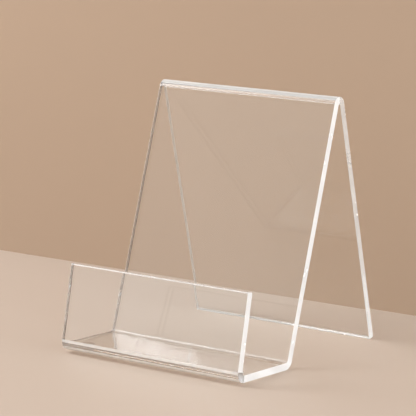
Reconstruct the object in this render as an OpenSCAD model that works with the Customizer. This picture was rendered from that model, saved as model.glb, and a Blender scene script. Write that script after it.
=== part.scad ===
// Book stand bent from one sheet of clear acrylic, with two clear bumper feet.
// The sheet runs down the front lip, back along the shelf, up the leaning back,
// round the tight top bend and down the rear leg to the table.
// X runs from left to right, Y from front to rear and Z up. The table is at Z = 0,
// and the origin is in the middle of the stand's width and depth.

/* [Sheet] */
// Width of the sheet, left to right
sheet_w = 150; // [80:1:300]
// Thickness of the sheet
sheet_t = 5; // [3:0.5:8]
// Inside radius of the bends at the shelf's front and rear
bend_r = 2; // [1:0.5:6]
// Inside radius of the tighter bend at the top
top_bend_r = 1; // [0.5:0.5:6]
// Rounding of the polished cut edges, at the lip's top and at the leg's foot
edge_round = 1; // [0.2:0.1:1.4]

/* [Panels] */
// Length of the lip's flat run
lip_flat = 53; // [15:1:90]
// Depth of the shelf's flat run
shelf_flat = 49; // [30:1:120]
// Length of the back's flat run
back_flat = 177; // [100:1:300]

/* [Angles] */
// Slope of the lip from the table, with its top towards the rear
lip_slope = 78; // [60:1:90]
// Tilt of the shelf, which is higher at its front
shelf_rise = 2.5; // [1:0.5:6]
// Slope of the back from the table, with its top towards the rear
back_slope = 72; // [55:1:80]
// Slope of the rear leg from the table, with its top towards the front
leg_slope = 76.5; // [60:0.5:85]

/* [Bumper feet] */
// Diameter of a foot where it is stuck to the shelf
foot_d = 8; // [5:0.5:14]
// Diameter of a foot where it meets the table
foot_tip_d = 6; // [3:0.5:10]
// Height of a foot's tapered part
foot_taper_h = 0.8; // [0.3:0.1:1.2]
// Distance from the sheet's side edge to a foot's middle
foot_side_inset = 12; // [8:1:30]
// Distance from the start of the shelf's flat run to a foot's middle
foot_front_inset = 10; // [7:1:20]

/* [Hidden] */
$fn = 96;
// Flat steps in the arc of a bend and of a cut edge's rounding
bend_steps = 24;
round_steps = 8;

// Radii of the bends, to the sheet's middle line and to its outside
mid_r = bend_r + sheet_t / 2;
outer_r = bend_r + sheet_t;
top_mid_r = top_bend_r + sheet_t / 2;
top_outer_r = top_bend_r + sheet_t;

// The side view has Y across and Z up. These are the sheet's headings in it, in degrees,
// walking along the middle line from the lip's top edge to the leg's bottom edge.
lip_heading = 180 + lip_slope;
shelf_heading = 360 - shelf_rise;
back_heading = 360 + back_slope;
leg_heading = 360 - leg_slope;

function along(heading) = [cos(heading), sin(heading)];
function left_of(heading) = along(heading + 90);

// The rear bend rests on the table at Y = 0 in the side view, and the walk goes both ways from it.
rear_centre = [0, outer_r];
shelf_end = rear_centre - mid_r * left_of(shelf_heading);
shelf_start = shelf_end - shelf_flat * along(shelf_heading);
front_centre = shelf_start + mid_r * left_of(shelf_heading);
lip_end = front_centre - mid_r * left_of(lip_heading);
lip_start = lip_end - lip_flat * along(lip_heading);
back_start = rear_centre - mid_r * left_of(back_heading);
back_end = back_start + back_flat * along(back_heading);
top_centre = back_end - top_mid_r * left_of(back_heading);
leg_start = top_centre + top_mid_r * left_of(leg_heading);

// The leg is cut square, and the rounded front corner of its cut edge stands on the table.
leg_end_z = sheet_t / 2 * cos(leg_slope) + edge_round * (1 - sin(leg_slope) - cos(leg_slope));
leg_flat = (leg_start.y - leg_end_z) / sin(leg_slope);
leg_end = leg_start + leg_flat * along(leg_heading);

// Centres of the cut edges' roundings, which lie in from the edge and from the sheet's faces
round_in = sheet_t / 2 - edge_round;
lip_round_mid = lip_start + edge_round * along(lip_heading);
lip_front_round = lip_round_mid - round_in * left_of(lip_heading);
lip_rear_round = lip_round_mid + round_in * left_of(lip_heading);
leg_round_mid = leg_end - edge_round * along(leg_heading);
leg_front_round = leg_round_mid - round_in * left_of(leg_heading);
leg_rear_round = leg_round_mid + round_in * left_of(leg_heading);

// Middle of the stand's depth in the side view
front_y = front_centre.x - outer_r;
rear_y = leg_rear_round.x + edge_round;
middle_y = (front_y + rear_y) / 2;

// Point of the shelf's underside above a foot's middle
foot_top = shelf_start + foot_front_inset * along(shelf_heading) - sheet_t / 2 * left_of(shelf_heading);
foot_x = sheet_w / 2 - foot_side_inset;

// Points of an arc in the side view, between two directions from its centre
function arc(centre, radius, first, last, steps) =
    [for (i = [0 : steps]) centre + radius * along(first + (last - first) * i / steps)];
function bend(centre, radius, first, last) = arc(centre, radius, first, last, bend_steps);
function rounding(centre, first) = arc(centre, edge_round, first, first + 90, round_steps);

// Outline of the sheet in the side view: along its right-hand side as it is walked, then back
// along its left-hand side. The ends of the arcs are also the ends of the flat runs.
right_side = concat(
    rounding(lip_front_round, lip_heading - 180),
    bend(front_centre, outer_r, lip_heading - 90, shelf_heading - 90),
    bend(rear_centre, outer_r, shelf_heading - 90, back_heading - 90),
    bend(top_centre, top_bend_r, back_heading + 90, leg_heading + 90),
    rounding(leg_front_round, leg_heading - 90)
);
left_side = concat(
    rounding(leg_rear_round, leg_heading),
    bend(top_centre, top_outer_r, leg_heading + 90, back_heading + 90),
    bend(rear_centre, bend_r, back_heading - 90, shelf_heading - 90),
    bend(front_centre, bend_r, shelf_heading - 90, lip_heading - 90),
    rounding(lip_rear_round, lip_heading + 90)
);

// The sheet at its full width
module sheet_solid() {
    rotate([90, 0, 90])
        linear_extrude(sheet_w, center = true)
            translate([-middle_y, 0])
                polygon(concat(right_side, left_side));
}

// One foot, which fills the gap between the table and the shelf's underside
module foot(x) {
    difference() {
        translate([x, foot_top.x - middle_y, 0])
            union() {
                cylinder(h = foot_taper_h, d1 = foot_tip_d, d2 = foot_d);
                translate([0, 0, foot_taper_h])
                    cylinder(h = foot_top.y + sheet_t / 2 - foot_taper_h, d = foot_d);
            }
        sheet_solid();
    }
}

module bent_sheet() {
    color("aliceblue", 0.35) sheet_solid();
}

module front_left_foot() {
    color("gainsboro", 0.5) foot(-foot_x);
}

module front_right_foot() {
    color("gainsboro", 0.5) foot(foot_x);
}

bent_sheet();
front_left_foot();
front_right_foot();
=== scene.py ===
import math

import bpy
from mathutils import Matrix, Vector


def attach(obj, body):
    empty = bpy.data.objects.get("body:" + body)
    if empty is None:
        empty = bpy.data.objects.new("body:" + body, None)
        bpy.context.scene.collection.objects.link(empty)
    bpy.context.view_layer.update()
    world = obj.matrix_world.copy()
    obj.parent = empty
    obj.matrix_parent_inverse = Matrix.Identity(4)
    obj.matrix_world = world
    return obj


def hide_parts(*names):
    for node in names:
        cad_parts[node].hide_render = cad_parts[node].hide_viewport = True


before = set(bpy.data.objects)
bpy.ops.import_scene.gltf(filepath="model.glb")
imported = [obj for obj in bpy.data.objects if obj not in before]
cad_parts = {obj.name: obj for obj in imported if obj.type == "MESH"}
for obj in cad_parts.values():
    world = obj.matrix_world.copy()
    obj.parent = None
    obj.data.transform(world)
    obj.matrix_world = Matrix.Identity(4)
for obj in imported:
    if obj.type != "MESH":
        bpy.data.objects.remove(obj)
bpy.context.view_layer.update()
scene = bpy.context.scene

# Sizes of the bent sheet, in metres and degrees, as in the part's source
SHEET_W = 0.150
SHEET_T = 0.005
BEND_R = 0.002            # inside radius of the bends at the shelf's front and rear
TOP_BEND_R = 0.001        # inside radius of the top bend
CUT_ROUND = 0.001         # rounding of the cut edges, at the lip's top and at the leg's foot
LIP_FLAT = 0.053
SHELF_FLAT = 0.049
BACK_FLAT = 0.177
LIP_SLOPE = 78.0
SHELF_RISE = 2.5
BACK_SLOPE = 72.0
LEG_SLOPE = 76.5
BEND_STEPS = 24           # flat steps in the arc of a bend

MID_R = BEND_R + SHEET_T / 2
OUTER_R = BEND_R + SHEET_T
TOP_MID_R = TOP_BEND_R + SHEET_T / 2

# Detail that only the dressed model has
SIDE_ROUND = 0.00025      # rounding along both ends of the sheet
ROUND_STEPS = 6           # steps in the arc of a rounding

# The sheet's material slots: its faces, its end faces, three looks of the bends (clear, and faint or full
# white strips that are painted highlight lines), the leg's end faces with the cut edges, and the end faces
# of the front bend
FACE, END, PAINTED_HIGHLIGHT_FAINT, CLEAR, PAINTED_HIGHLIGHT, LEG_END, BEND_END = range(7)
# Steps of each bend's outer side that are painted white or faintly white, as painted highlight lines. The
# other steps are clear.
PAINTED_HIGHLIGHT_STEPS = {"front": range(10, 23), "rear": (), "top": range(8, 14)}
FAINT_HIGHLIGHT_STEPS = {"front": range(0, 4), "rear": (), "top": range(4, 8)}
# Station from which the end faces take the leg's material
LEG_FROM = ("top", BEND_STEPS // 2)

# Looks of the acrylic. A pair is the range that a noise runs through.
ACRYLIC_COLOUR = (0.985, 0.99, 0.988, 1)
ACRYLIC_IOR = 1.49
POLISH = (0.0, 0.004)     # roughness of the faces
BEND_POLISH = (0.05, 0.09)
SATIN = (0.22, 0.28)      # roughness of the end faces and cut edges from outside
INNER_POLISH = 0.03       # their roughness from inside
END_WHITE = 0.985         # their colour from outside; from inside they can be painted grey as shade
HAZE_SPREAD = 0.05        # how far their haze varies to either side
WEAR_SCALE = 60.0
WEAR_DETAIL = 3.0
HAZE_SCALE = 45.0
HAZE_DETAIL = 2.0

# Looks of the bumper feet
FOOT_COLOUR = (0.95, 0.95, 0.94, 1)
FOOT_IOR = 1.5
FOOT_ROUGHNESS = (0.12, 0.28)
FOOT_GRAIN = 900.0
FOOT_DETAIL = 2.0

# Floor and wall, in metres
FLOOR_COLOUR = (0.565, 0.462, 0.384, 1)
FLOOR_ROUGHNESS = 0.6
WALL_COLOUR = (0.415, 0.296, 0.209, 1)
WALL_ROUGHNESS = 0.9
STAGE_X = 4               # reach to the left and right
FLOOR_Y = 5               # reach to the front and rear
WALL_H = 3
WALL_Y = 0.1562           # behind the middle of the stand
WALL_TURN = 0.0161        # how much farther it stands per metre to the right

# The room's light, which is brightest from one side
BRIGHT_SIDE = (-0.70, -0.64, 0.32)     # unit vector to that side
ROOM_COLOUR = (1.0, 0.99, 0.97, 1)
ROOM_DIM = 0.33
ROOM_BRIGHT = 0.92

# Camera at the photograph's viewpoint
CAMERA_PLACE = (0.91547, -1.26258, 0.40341)
CAMERA_TILT = 78.944      # degrees from looking straight down
CAMERA_TURN = 36.2456     # degrees about the vertical
SENSOR_W = 36.0           # mm
LENS = 198.0              # mm

# Times that a ray may bounce, because rays cross the sheet many times on their way along it
BOUNCES = 48


def along(heading):
    """Unit vector in the side view, with Y across and Z up."""
    a = math.radians(heading)
    return Vector((math.cos(a), math.sin(a)))


def left_of(heading):
    return along(heading + 90)


def sheet_stations():
    """The sheet's middle line from the lip's top to the leg's foot, as (point, heading, where) rows."""
    lip = 180 + LIP_SLOPE
    shelf = 360 - SHELF_RISE
    back = 360 + BACK_SLOPE
    leg = 360 - LEG_SLOPE
    rear_centre = Vector((0, OUTER_R))
    shelf_end = rear_centre - MID_R * left_of(shelf)
    shelf_start = shelf_end - SHELF_FLAT * along(shelf)
    front_centre = shelf_start + MID_R * left_of(shelf)
    lip_start = front_centre - MID_R * left_of(lip) - LIP_FLAT * along(lip)
    back_end = rear_centre - MID_R * left_of(back) + BACK_FLAT * along(back)
    top_centre = back_end - TOP_MID_R * left_of(back)
    leg_start = top_centre + TOP_MID_R * left_of(leg)
    rise = math.sin(math.radians(LEG_SLOPE))
    run = math.cos(math.radians(LEG_SLOPE))
    leg_end_z = SHEET_T / 2 * run + CUT_ROUND * (1 - rise - run)
    leg_end = leg_start + (leg_start.y - leg_end_z) / rise * along(leg)
    front_y = front_centre.x - OUTER_R
    rear_y = leg_end.x + (SHEET_T / 2 - CUT_ROUND) * rise + CUT_ROUND * (1 - run)
    middle = Vector(((front_y + rear_y) / 2, 0))

    rows = [(lip_start - middle, lip, ("end", 0))]
    for name, centre, first, last, reach in (
        ("front", front_centre, lip, shelf, -MID_R),
        ("rear", rear_centre, shelf, back, -MID_R),
        ("top", top_centre, back, leg, TOP_MID_R),
    ):
        for i in range(BEND_STEPS + 1):
            heading = first + (last - first) * i / BEND_STEPS
            rows.append((centre - middle + reach * left_of(heading), heading, (name, i)))
    rows.append((leg_end - middle, leg, ("end", 0)))
    return rows


def cut_end(point, heading, into, inset):
    """Stations round a cut end, from the cut to the full thickness, in outline()'s form.

    into is the unit vector that points into the sheet there.
    """
    radius = CUT_ROUND - inset
    stations = []
    for k in range(ROUND_STEPS + 1):
        a = math.pi / 2 * k / ROUND_STEPS
        run = inset + radius * (1 - math.cos(a))
        reach = SHEET_T / 2 - CUT_ROUND + radius * math.sin(a)
        where = ("cut" if k < ROUND_STEPS else "flat", 0)
        stations.append((point + run * into, heading, reach, math.sin(a), -math.cos(a) * into, where))
    return stations


def outline(inset):
    """Side view of the sheet, drawn in by inset: (point, normal, where) rows of its left and right sides."""
    rows = sheet_stations()
    first_point, first_heading, _ = rows[0]
    last_point, last_heading, _ = rows[-1]
    # A station has its point and heading on the middle line, the reach from there to both sides, the share
    # of the side's direction in the normal, the rest of the normal, and the name of its place.
    stations = cut_end(first_point, first_heading, along(first_heading), inset)
    for point, heading, where in rows[1:-1]:
        stations.append((point, heading, SHEET_T / 2 - inset, 1.0, Vector((0, 0)), where))
    stations += reversed(cut_end(last_point, last_heading, -along(last_heading), inset))

    left = []
    right = []
    for point, heading, reach, share, end_normal, where in stations:
        n = left_of(heading)
        left.append((point + reach * n, share * n + end_normal, where))
        right.append((point - reach * n, -share * n + end_normal, where))
    return left, right


def strip_slot(one, other, left):
    """Material slot of the strip between two stations of the left or right side."""
    name, step = one
    other_name, other_step = other
    if "cut" in (name, other_name):
        return LEG_END
    if name != other_name:
        return FACE
    # The inner sides of the front and top bends take the faint painted highlight; the rear one stays clear.
    inner = left != (name == "top")
    if inner:
        return CLEAR if name == "rear" else PAINTED_HIGHLIGHT_FAINT
    lower_step = min(step, other_step)
    # White and faintly white steps are painted highlight lines.
    if lower_step in PAINTED_HIGHLIGHT_STEPS[name]:
        return PAINTED_HIGHLIGHT
    return PAINTED_HIGHLIGHT_FAINT if lower_step in FAINT_HIGHLIGHT_STEPS[name] else CLEAR


def end_slot(one, other, on_leg):
    """Material slot of the sheet's ends between two stations."""
    if one[0] == other[0] == "front":
        return BEND_END
    return LEG_END if on_leg else END


def sheet_loops():
    """The sheet's points and normals, loops of point numbers from left to right, and a loop's places."""
    verts = []
    normals = []
    loops = []
    for side in (-1, 1):
        for k in range(ROUND_STEPS + 1)[::-side]:
            a = math.pi / 2 * k / ROUND_STEPS
            left, right = outline(SIDE_ROUND * (1 - math.sin(a)))
            rows = left + right[::-1]
            x = side * (SHEET_W / 2 - SIDE_ROUND * (1 - math.cos(a)))
            loops.append(range(len(verts), len(verts) + len(rows)))
            for point, normal, _ in rows:
                verts.append((x, point.x, point.y))
                n = Vector((side * math.cos(a), math.sin(a) * normal.x, math.sin(a) * normal.y))
                normals.append(n.normalized())
    return verts, normals, loops, [where for _, _, where in rows]


def make_sheet():
    """The bent sheet, with every edge slightly rounded and a material slot for each kind of surface."""
    verts, normals, loops, places = sheet_loops()
    count = len(places)
    half = count // 2
    leg_from = places.index(LEG_FROM)
    ends = [end_slot(places[i], places[i + 1], i >= leg_from) for i in range(half - 1)]
    ends = ends + [LEG_END] + ends[::-1] + [END]
    faces = []
    slots = []
    for j in range(len(loops) - 1):
        rim = j != ROUND_STEPS
        for i in range(count):
            k = (i + 1) % count
            faces.append((loops[j][i], loops[j + 1][i], loops[j + 1][k], loops[j][k]))
            slots.append(ends[i] if rim else strip_slot(places[i], places[k], i < half))
    for loop, flip in ((loops[0], True), (loops[-1], False)):
        for i in range(half - 1):
            quad = (loop[i], loop[count - 1 - i], loop[count - 2 - i], loop[i + 1])
            faces.append(quad[::-1] if flip else quad)
            slots.append(ends[i])
    mesh = bpy.data.meshes.new("acrylic_sheet")
    mesh.from_pydata(verts, [], faces)
    mesh.polygons.foreach_set("material_index", slots)
    mesh.polygons.foreach_set("use_smooth", [True] * len(faces))
    mesh.update()
    mesh.normals_split_custom_set_from_vertices(normals)
    piece = bpy.data.objects.new("acrylic_sheet", mesh)
    scene.collection.objects.link(piece)
    return piece


def new_material(name):
    material = bpy.data.materials.new(name)
    material.use_nodes = True
    tree = material.node_tree
    tree.nodes.clear()
    shader = tree.nodes.new("ShaderNodeBsdfPrincipled")
    output = tree.nodes.new("ShaderNodeOutputMaterial")
    tree.links.new(shader.outputs["BSDF"], output.inputs["Surface"])
    return material, tree, shader


def spread(tree, source, limits, source_limits):
    """Maps a value from its own limits to others."""
    node = tree.nodes.new("ShaderNodeMapRange")
    node.inputs["From Min"].default_value, node.inputs["From Max"].default_value = source_limits
    node.inputs["To Min"].default_value, node.inputs["To Max"].default_value = limits
    tree.links.new(source, node.inputs["Value"])
    return node.outputs["Result"]


def noise(tree, scale, detail, limits):
    """Noise over the object's own coordinates, between two limits."""
    coords = tree.nodes.new("ShaderNodeTexCoord")
    texture = tree.nodes.new("ShaderNodeTexNoise")
    texture.inputs["Scale"].default_value = scale
    texture.inputs["Detail"].default_value = detail
    tree.links.new(coords.outputs["Object"], texture.inputs["Vector"])
    # Most of the noise lies between these values
    return spread(tree, texture.outputs["Fac"], limits, (0.3, 0.7))


def by_side(tree, outside, inside):
    """A value for a surface's outer side and one for its inner side. outside may be a node's output."""
    geometry = tree.nodes.new("ShaderNodeNewGeometry")
    node = tree.nodes.new("ShaderNodeMapRange")
    if isinstance(outside, float):
        node.inputs["To Min"].default_value = outside
    else:
        tree.links.new(outside, node.inputs["To Min"])
    node.inputs["To Max"].default_value = inside
    tree.links.new(geometry.outputs["Backfacing"], node.inputs["Value"])
    return node.outputs["Result"]


def acrylic(name):
    """Clear acrylic, with its roughness still to be set."""
    material, tree, shader = new_material(name)
    shader.inputs["Base Color"].default_value = ACRYLIC_COLOUR
    shader.inputs["IOR"].default_value = ACRYLIC_IOR
    shader.inputs["Transmission Weight"].default_value = 1.0
    return material, tree, shader


def face_material(name):
    material, tree, shader = acrylic(name)
    tree.links.new(noise(tree, WEAR_SCALE, WEAR_DETAIL, POLISH), shader.inputs["Roughness"])
    return material


def edge_material(name, clear, inner_clear, inner_painted_shade=None):
    """An end face: satin and hazy from outside, smooth from inside, where it can be painted grey as shade.

    clear and inner_clear are the shares of light that it lets through from either side.
    """
    material, tree, shader = acrylic(name)
    satin = noise(tree, WEAR_SCALE, WEAR_DETAIL, SATIN)
    tree.links.new(by_side(tree, satin, INNER_POLISH), shader.inputs["Roughness"])
    haze = noise(tree, HAZE_SCALE, HAZE_DETAIL, (clear - HAZE_SPREAD, clear + HAZE_SPREAD))
    tree.links.new(by_side(tree, haze, inner_clear), shader.inputs["Transmission Weight"])
    # Painted shade: grey on the inner side of the end face.
    if inner_painted_shade is not None:
        tree.links.new(by_side(tree, END_WHITE, inner_painted_shade), shader.inputs["Base Color"])
    return material


def bend_material(name, clear):
    """A bend, white from outside by the share that it doesn't let through, which paints highlight lines on
    it. clear is the share of light that it lets through.
    """
    material, tree, shader = acrylic(name)
    tree.links.new(noise(tree, WEAR_SCALE, WEAR_DETAIL, BEND_POLISH), shader.inputs["Roughness"])
    # The share that isn't let through shows white from outside: painted highlight.
    tree.links.new(by_side(tree, clear, 1.0), shader.inputs["Transmission Weight"])
    return material


def foot_material(name):
    material, tree, shader = new_material(name)
    shader.inputs["Base Color"].default_value = FOOT_COLOUR
    shader.inputs["IOR"].default_value = FOOT_IOR
    shader.inputs["Transmission Weight"].default_value = 1.0
    tree.links.new(noise(tree, FOOT_GRAIN, FOOT_DETAIL, FOOT_ROUGHNESS), shader.inputs["Roughness"])
    return material


def stage_material(name, colour, roughness):
    material, tree, shader = new_material(name)
    shader.inputs["Base Color"].default_value = colour
    shader.inputs["Roughness"].default_value = roughness
    return material, tree, shader


def one_sided(tree, shader):
    """Lets views from behind a surface through it."""
    geometry = tree.nodes.new("ShaderNodeNewGeometry")
    clear = tree.nodes.new("ShaderNodeBsdfTransparent")
    either = tree.nodes.new("ShaderNodeMixShader")
    output = next(n for n in tree.nodes if n.type == "OUTPUT_MATERIAL")
    tree.links.new(geometry.outputs["Backfacing"], either.inputs["Fac"])
    tree.links.new(shader.outputs["BSDF"], either.inputs[1])
    tree.links.new(clear.outputs["BSDF"], either.inputs[2])
    tree.links.new(either.outputs["Shader"], output.inputs["Surface"])


def plane(name, corners, material):
    mesh = bpy.data.meshes.new(name)
    mesh.from_pydata(corners, [], [tuple(range(len(corners)))])
    obj = bpy.data.objects.new(name, mesh)
    obj.data.materials.append(material)
    scene.collection.objects.link(obj)


def softbox(name, place, target, size, power, colour=(1, 1, 1)):
    """A rectangular lamp that the camera doesn't see. Its size is in metres and its power in watts."""
    data = bpy.data.lights.new(name, "AREA")
    data.shape = "RECTANGLE"
    data.size, data.size_y = size
    data.energy = power
    data.color = colour
    lamp = bpy.data.objects.new(name, data)
    lamp.location = place
    lamp.rotation_euler = (Vector(target) - Vector(place)).to_track_quat("-Z", "Y").to_euler()
    lamp.visible_camera = False
    scene.collection.objects.link(lamp)
    return lamp


# Camera
camera_data = bpy.data.cameras.new("camera")
camera_data.sensor_width = SENSOR_W
camera_data.lens = LENS
camera = bpy.data.objects.new("camera", camera_data)
camera.location = CAMERA_PLACE
camera.rotation_euler = (math.radians(CAMERA_TILT), 0, math.radians(CAMERA_TURN))
scene.collection.objects.link(camera)
scene.camera = camera

# The sheet, with its materials in the order of the slots
sheet = make_sheet()
for material in (
    face_material("acrylic_face"),
    # acrylic_edge and acrylic_bend_end are painted grey on their inner side, as shade; the leg's end faces
    # are not.
    edge_material("acrylic_edge", clear=0.22, inner_clear=0.7, inner_painted_shade=0.25),
    # The bends are white from outside by the share they don't let through: painted highlight lines, faint,
    # slight and strong.
    bend_material("acrylic_bend_faint_painted_highlight", clear=0.55),
    bend_material("acrylic_bend_clear", clear=0.88),
    bend_material("acrylic_bend_painted_highlight", clear=0.37),
    edge_material("acrylic_leg_edge", clear=0.62, inner_clear=0.5),
    edge_material("acrylic_bend_end", clear=0.85, inner_clear=0.65, inner_painted_shade=0.25),
):
    sheet.data.materials.append(material)
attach(sheet, "root")
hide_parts("bent_sheet")

# The bumper feet
bumper = foot_material("bumper")
for name in ("front_left_foot", "front_right_foot"):
    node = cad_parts[name]
    node.data.materials.clear()
    node.data.materials.append(bumper)

# Floor and wall
floor, _, _ = stage_material("floor", FLOOR_COLOUR, FLOOR_ROUGHNESS)
plane("floor", [
    (-STAGE_X, -FLOOR_Y, 0),
    (STAGE_X, -FLOOR_Y, 0),
    (STAGE_X, FLOOR_Y, 0),
    (-STAGE_X, FLOOR_Y, 0),
], floor)
wall, wall_tree, wall_shader = stage_material("wall", WALL_COLOUR, WALL_ROUGHNESS)
one_sided(wall_tree, wall_shader)
wall_left = WALL_Y - STAGE_X * WALL_TURN
wall_right = WALL_Y + STAGE_X * WALL_TURN
plane("wall", [
    (-STAGE_X, wall_left, 0),
    (STAGE_X, wall_right, 0),
    (STAGE_X, wall_right, WALL_H),
    (-STAGE_X, wall_left, WALL_H),
], wall)

# The room's light
world = bpy.data.worlds.new("studio")
world.use_nodes = True
scene.world = world
room = world.node_tree
background = next(n for n in room.nodes if n.type == "BACKGROUND")
background.inputs["Color"].default_value = ROOM_COLOUR
coords = room.nodes.new("ShaderNodeTexCoord")
toward = room.nodes.new("ShaderNodeVectorMath")
toward.operation = "DOT_PRODUCT"
toward.inputs[1].default_value = BRIGHT_SIDE
room.links.new(coords.outputs["Generated"], toward.inputs[0])
strength = spread(room, toward.outputs["Value"], (ROOM_DIM, ROOM_BRIGHT), (-1.0, 1.0))
room.links.new(strength, background.inputs["Strength"])

# Lamps
softbox(
    "window", place=(-0.95, -0.5, 0.7), target=(-0.35, 0.156, 0.05),
    size=(0.6, 0.6), power=5.6, colour=(0.9, 0.95, 1.0),
)
softbox("overhead", place=(-0.55, -0.75, 1.2), target=(0, -0.05, 0.05), size=(1.1, 1.1), power=8.2)
# This one whitens the end faces. It isn't mirrored in the sheet or seen through it.
side = softbox(
    "side", place=(1.1, -0.1, 0.22), target=(0.075, 0, 0.09),
    size=(0.5, 0.3), power=7.8, colour=(0.85, 0.94, 1.0),
)
side.visible_glossy = False
side.visible_transmission = False

scene.cycles.max_bounces = BOUNCES
scene.cycles.glossy_bounces = BOUNCES
scene.cycles.transmission_bounces = BOUNCES
scene.cycles.blur_glossy = 0.0
scene.view_settings.view_transform = "Standard"
